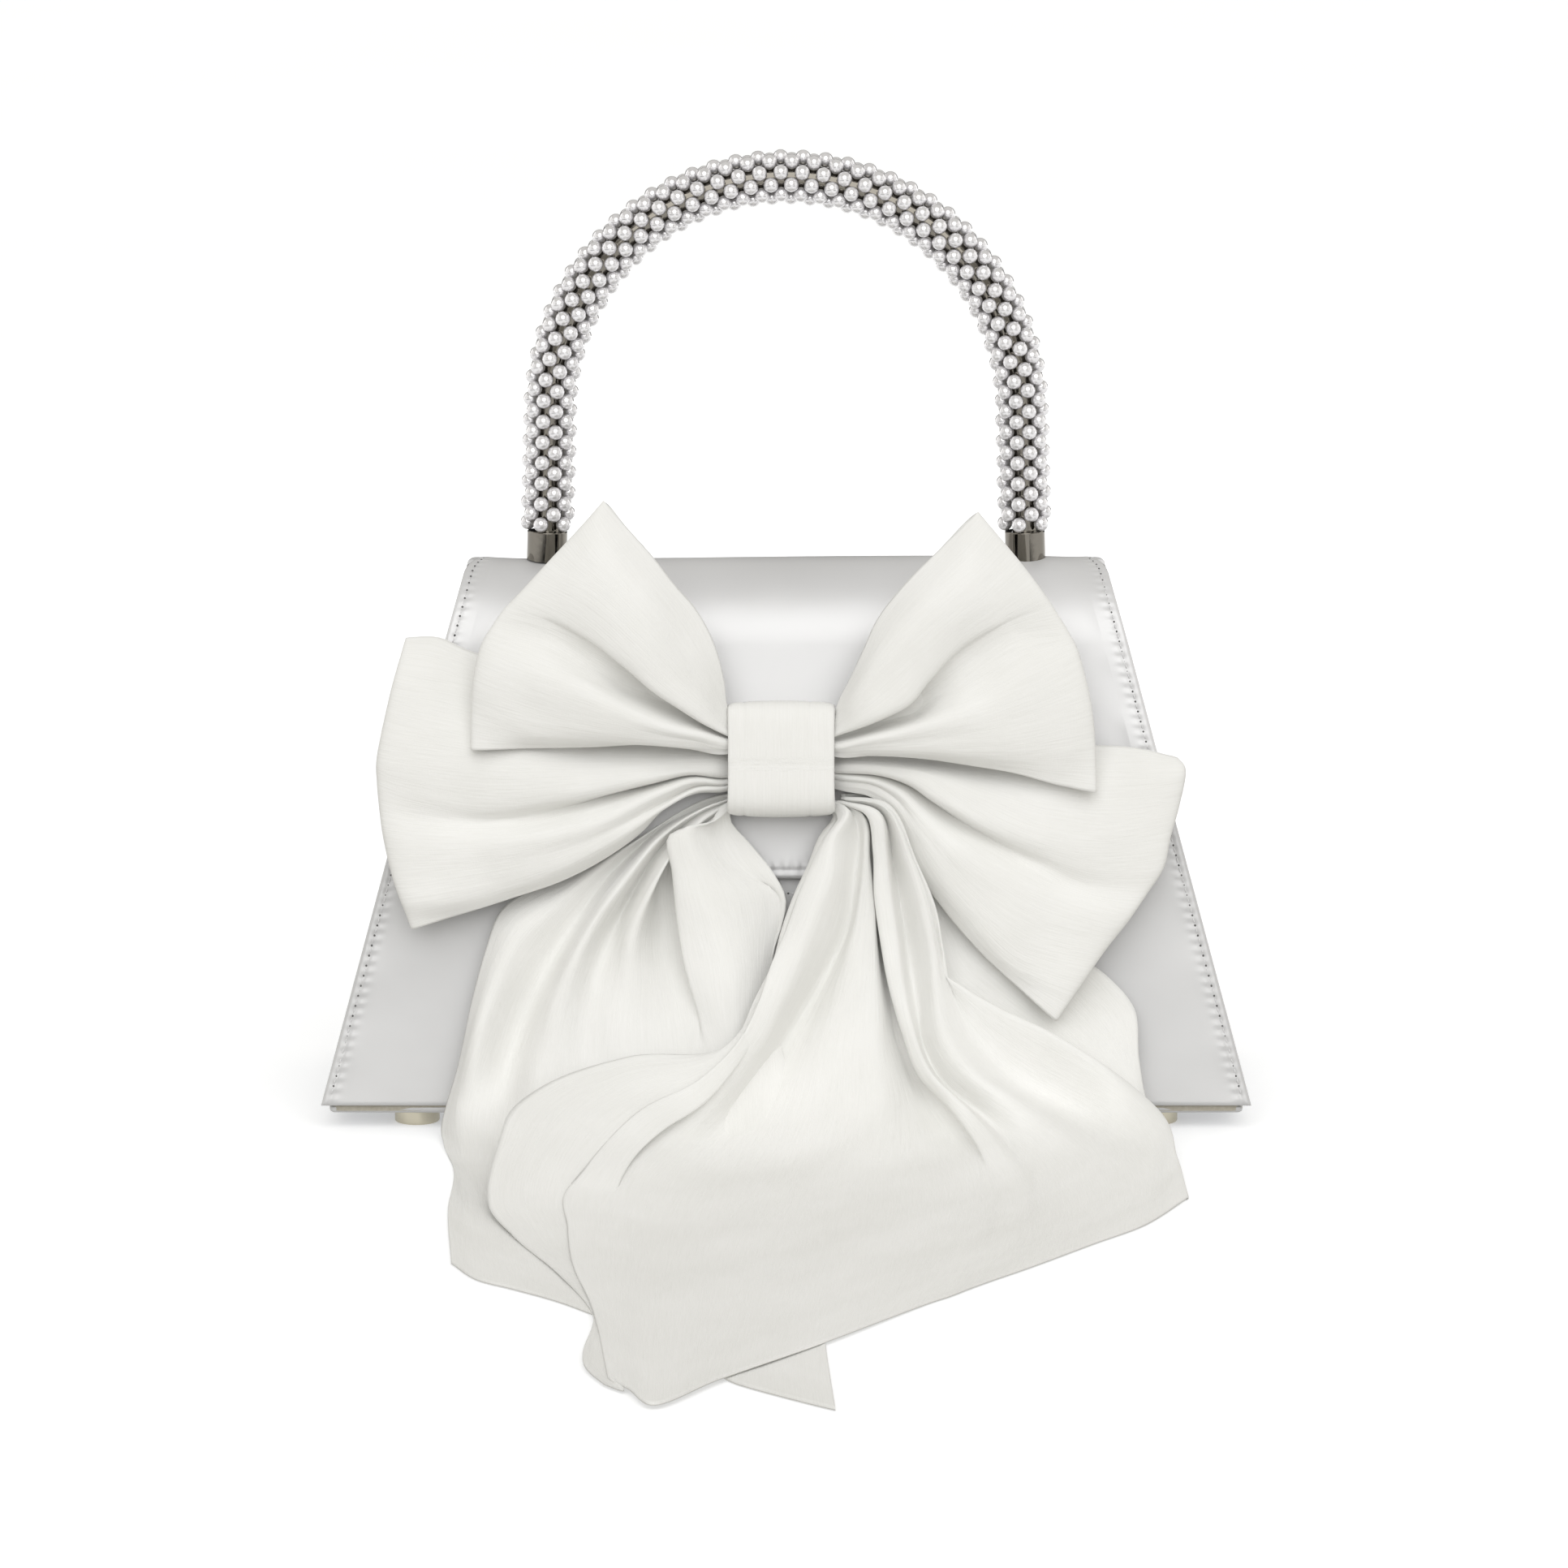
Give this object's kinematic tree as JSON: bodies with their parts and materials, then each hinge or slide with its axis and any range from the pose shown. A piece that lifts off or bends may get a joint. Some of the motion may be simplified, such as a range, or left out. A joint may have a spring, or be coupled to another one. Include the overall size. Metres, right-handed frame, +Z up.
{
  "type": "top-handle evening bag",
  "caption": "Small trapezoid satin handbag with a hinged flap, a rigid arch handle covered in pearl beads, and a large double bow whose tails lie on the floor in front.",
  "frame": {"origin": "on the floor under the middle of the whole object's box, tails included; the bag itself stands 120.18 mm behind it", "axes": "+X to the right seen from the front, +Y to the back, away from the bow's tails, +Z up"},
  "size_m": [0.2148, 0.3296, 0.2229],
  "materials": {
    "satin": "smooth silver-white satin, soft sheen",
    "bow_cloth": "ivory ribbed taffeta, matt with a fine crosswise rib",
    "lining_cloth": "fine cream twill lining",
    "board": "dense stiffener felt",
    "polished_nickel": "mirror-polished nickel",
    "foot_metal": "satin champagne plating",
    "plated_steel": "satin nickel plate",
    "magnet": "dark sintered magnet",
    "pearl": "pearl-coated bead"
  },
  "bodies": {
    "bag": {"front_panel": "satin", "front_board": "board", "back_panel": "satin", "back_board": "board", "left_gusset": "satin", "left_gusset_board": "board", "right_gusset": "satin", "right_gusset_board": "board", "base_panel": "satin", "base_board": "board", "lining": "lining_cloth", "foot_front_left": "foot_metal", "foot_front_right": "foot_metal", "foot_back_left": "foot_metal", "foot_back_right": "foot_metal", "foot_washers": "plated_steel", "snap_socket": "plated_steel", "snap_magnet": "magnet", "snap_socket_washer": "plated_steel"},
    "flap": {"flap_satin": "satin", "flap_board": "board", "flap_lining": "lining_cloth", "snap_stud": "plated_steel", "snap_stud_washer": "plated_steel", "handle_plate": "plated_steel", "handle_tube": "polished_nickel", "ferrule_left": "polished_nickel", "ferrule_right": "polished_nickel", "handle_screws": "plated_steel", "handle_washers": "plated_steel", "pearl_strand_01": "pearl", "pearl_strand_02": "pearl", "pearl_strand_03": "pearl", "pearl_strand_04": "pearl", "pearl_strand_05": "pearl", "pearl_strand_06": "pearl", "pearl_strand_07": "pearl", "pearl_strand_08": "pearl", "pearl_strand_09": "pearl", "pearl_strand_10": "pearl", "knot_band": "bow_cloth", "gather_core": "bow_cloth", "upper_loop_left": "bow_cloth", "upper_loop_right": "bow_cloth", "lower_loop_left": "bow_cloth", "lower_loop_right": "bow_cloth", "tail_left": "bow_cloth", "tail_right": "bow_cloth"}
  },
  "joints": [
    {"name": "flap_hinge", "type": "hinge", "parent": "bag", "child": "flap", "pos_m": [0, 0.14305, 0.104], "axis": [-1, 0, 0], "range_deg": [0, 150]}
  ]
}
